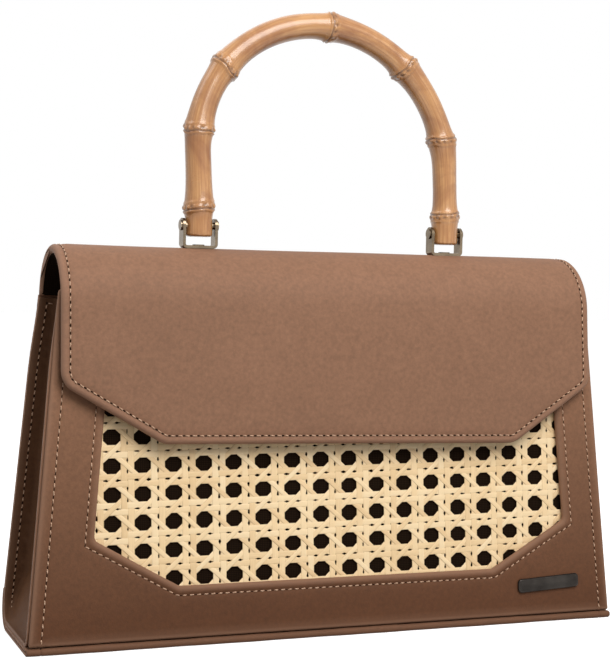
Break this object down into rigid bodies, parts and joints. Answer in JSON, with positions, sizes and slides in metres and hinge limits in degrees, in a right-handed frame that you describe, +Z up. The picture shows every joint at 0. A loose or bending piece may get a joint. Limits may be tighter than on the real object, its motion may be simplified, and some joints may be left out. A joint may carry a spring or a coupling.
{
  "type": "flap handbag",
  "caption": "Stiff leather flap handbag with a woven cane window in the front, recessed side gussets and a hinged bamboo top handle on metal brackets.",
  "frame": {"origin": "on the floor under the middle of the bag's box", "axes": "+X along the bag's width, -Y out of the front with the cane window, +Z up"},
  "size_m": [0.2614, 0.0594, 0.2625],
  "materials": {
    "leather": "matt full-grain leather, taupe brown",
    "lining": "dark brown woven lining",
    "stiffener": "fibre board",
    "cane": "natural cane webbing, satin",
    "bamboo": "lacquered bent bamboo",
    "hardware": "polished pale gold plating",
    "steel": "plain steel"
  },
  "bodies": {
    "body": {"front_panel": "leather", "front_board": "stiffener", "keeper_plate": "steel", "cane_panel": "cane", "front_lining": "lining", "back_panel": "leather", "back_board": "stiffener", "back_lining": "lining", "base_wrap": "leather", "base_board": "stiffener", "gusset_left": "leather", "gusset_right": "leather"},
    "flap": {"flap_panel": "leather", "flap_board": "stiffener", "flap_magnet": "steel", "flap_lining": "lining", "bracket_left": "hardware", "bracket_right": "hardware", "washer_left": "steel", "washer_right": "steel", "rivet_left": "hardware", "rivet_right": "hardware", "pin_left": "hardware", "pin_right": "hardware"},
    "handle": {"bamboo_handle": "bamboo"}
  },
  "joints": [
    {"name": "flap_hinge", "type": "hinge", "parent": "body", "child": "flap", "pos_m": [0, 0.0207, 0.13915], "axis": [-1, 0, 0], "range_deg": [0, 110]},
    {"name": "handle_swing", "type": "hinge", "parent": "flap", "child": "handle", "pos_m": [0, -0.00281, 0.169], "axis": [1, 0, 0], "range_deg": [-80, 105]}
  ]
}
